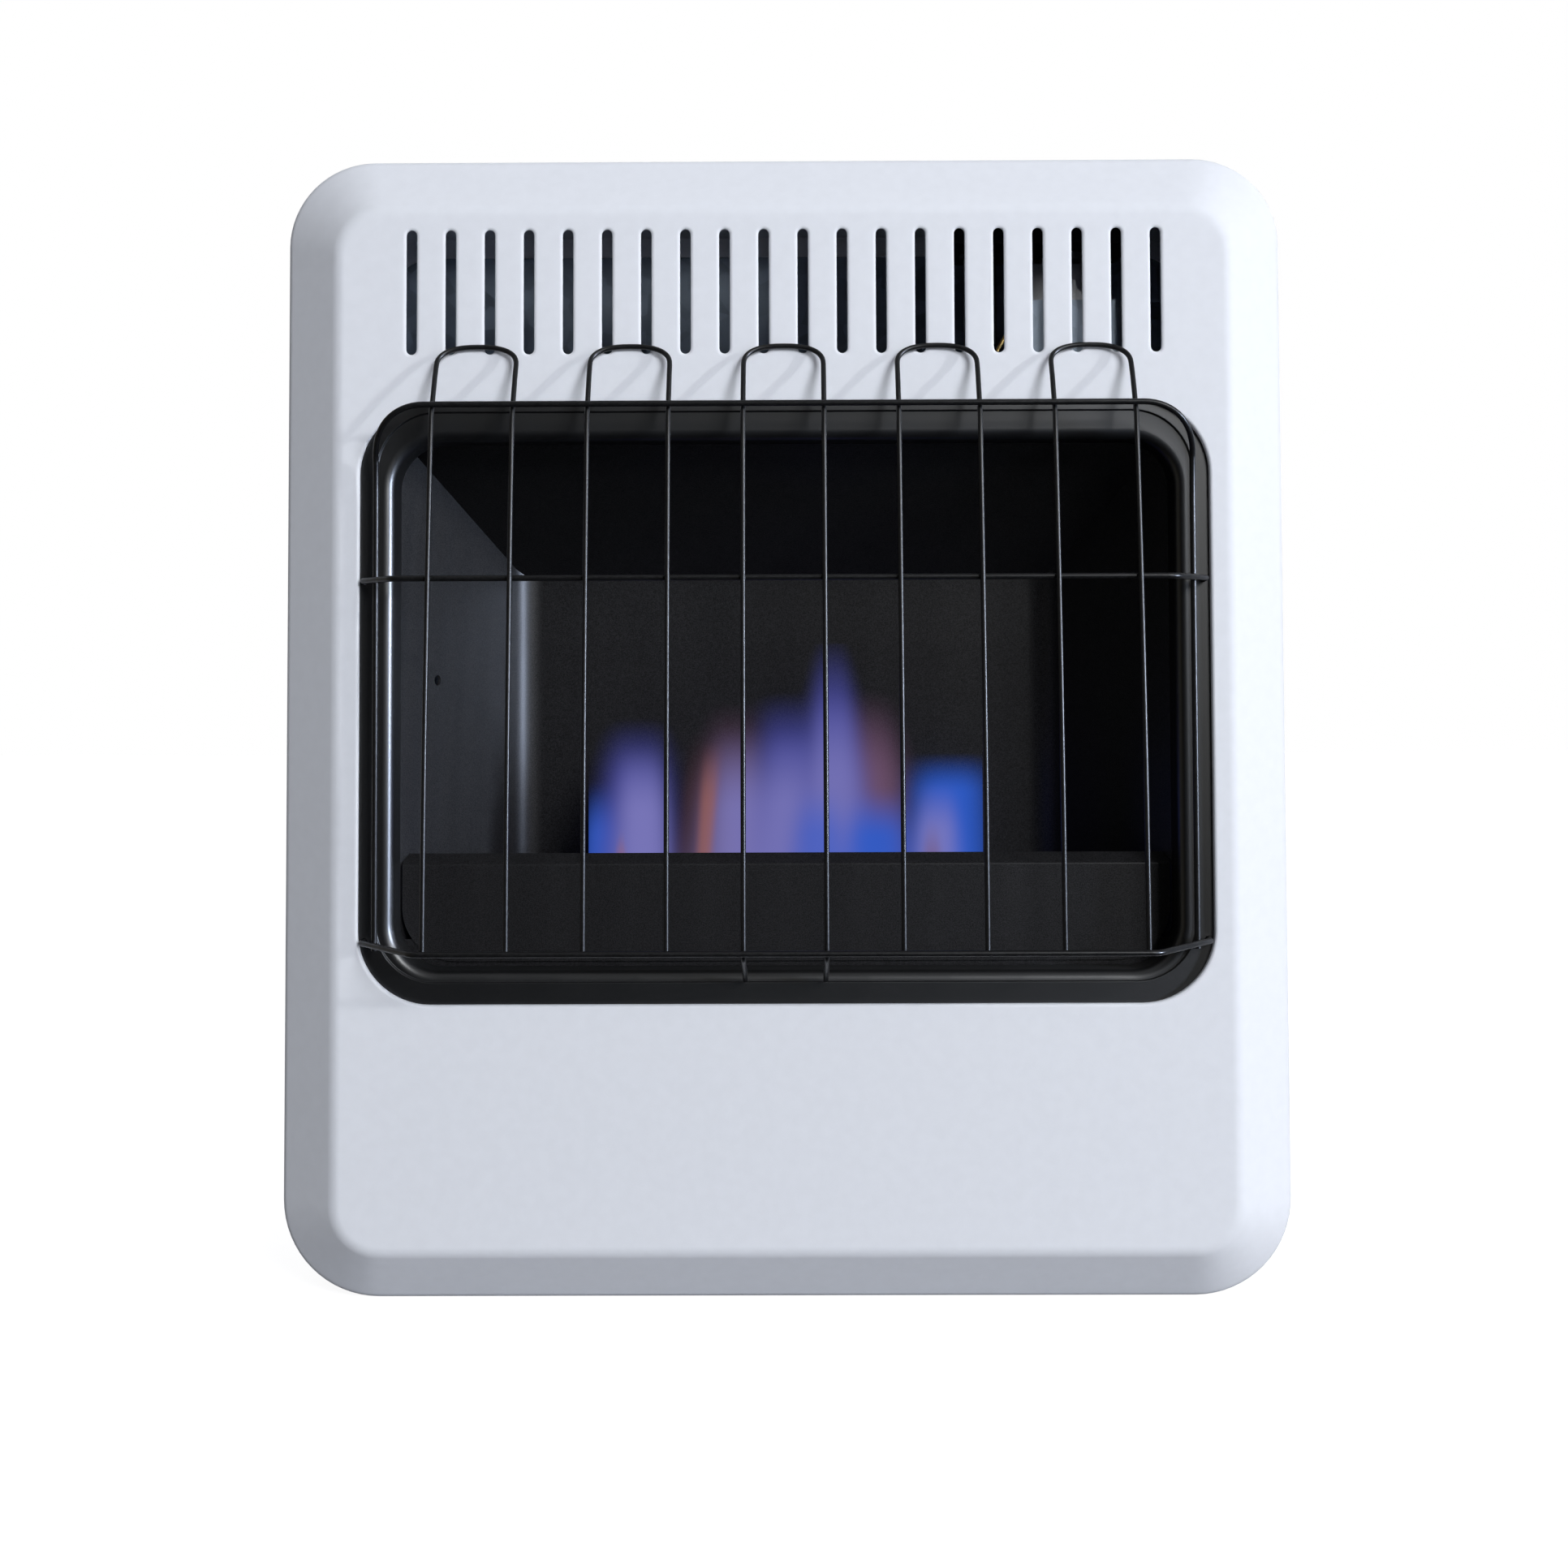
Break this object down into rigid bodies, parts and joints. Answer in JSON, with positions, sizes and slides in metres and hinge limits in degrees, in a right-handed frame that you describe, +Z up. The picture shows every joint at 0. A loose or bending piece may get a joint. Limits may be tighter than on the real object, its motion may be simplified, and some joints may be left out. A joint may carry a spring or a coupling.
{
  "type": "vent-free gas heater",
  "caption": "Wall-hung gas room heater: white drawn cover with air slots over a black firebox, wire guard, tube burner with pilot, push-and-turn valve knob and igniter button.",
  "frame": {"origin": "middle of the base tray's underside, halfway between the cover's face and the rear panel's back", "axes": "+X to the right seen from the front, -Y out of the front cover towards the room, +Y towards the wall, +Z up"},
  "size_m": [0.52, 0.2396, 0.59],
  "materials": {
    "white_enamel": "semi-gloss white enamel",
    "black_enamel": "satin black heat-proof enamel",
    "black_wire": "black enamelled steel wire",
    "galvanised": "galvanised sheet",
    "steel": "plain steel, darkened by heat at the burner",
    "cast_aluminium": "die-cast, matt",
    "aluminium_tube": "drawn tube",
    "brass": "turned brass and copper",
    "black_plastic": "moulded, matt",
    "ceramic": "white glazed ceramic",
    "rubber": "silicone insulation"
  },
  "bodies": {
    "heater": {"front_cover": "white_enamel", "opening_bezel": "black_enamel", "cabinet_wrap": "white_enamel", "base_tray": "galvanised", "rear_panel": "galvanised", "wall_bracket": "galvanised", "rear_screw_1": "steel", "rear_screw_2": "steel", "rear_screw_3": "steel", "rear_screw_4": "steel", "firebox_liner": "black_enamel", "firebox_hood": "black_enamel", "firebox_floor": "black_enamel", "burner_shield": "black_enamel", "burner_tube": "steel", "burner_venturi": "steel", "burner_bracket_left": "galvanised", "burner_bracket_right": "galvanised", "injector": "brass", "injector_bracket": "galvanised", "injector_elbow": "brass", "pilot_bracket": "galvanised", "pilot_burner": "steel", "thermocouple_probe": "steel", "electrode_insulator": "ceramic", "electrode_tip": "steel", "control_well": "black_enamel", "valve_bracket": "galvanised", "gas_valve_body": "cast_aluminium", "igniter_body": "black_plastic", "igniter_nut": "galvanised", "regulator_body": "cast_aluminium", "regulator_cap": "cast_aluminium", "inlet_fitting": "brass", "inlet_tube": "aluminium_tube", "main_gas_tube": "aluminium_tube", "pilot_gas_tube": "aluminium_tube", "thermocouple_lead": "brass", "ignition_wire": "rubber", "sensor_capillary": "brass", "sensor_bulb": "brass", "bulb_clip": "galvanised", "guard_frame_wire": "black_wire", "guard_mid_bar": "black_wire", "guard_bottom_bar": "black_wire", "guard_hairpin_1": "black_wire", "guard_hairpin_2": "black_wire", "guard_hairpin_3": "black_wire", "guard_hairpin_4": "black_wire", "guard_hairpin_5": "black_wire"},
    "knob_push_carrier": {"thrust_washer": "steel"},
    "knob": {"valve_stem": "steel", "control_knob": "black_plastic"},
    "button": {"igniter_button": "black_plastic"}
  },
  "joints": [
    {"name": "knob_push", "type": "slide", "parent": "heater", "child": "knob_push_carrier", "axis": [0, 0, -1], "range_m": [0, 0.005], "stiffness_N_per_m": 800, "springref_m": -0.002},
    {"name": "knob_turn", "type": "hinge", "parent": "knob_push_carrier", "child": "knob", "pos_m": [0.156, -0.023, 0.56], "axis": [0, 0, 1], "range_deg": [0, 250]},
    {"name": "igniter_press", "type": "slide", "parent": "heater", "child": "button", "axis": [0, 0, -1], "range_m": [0, 0.0065], "stiffness_N_per_m": 1200, "springref_m": -0.002}
  ]
}
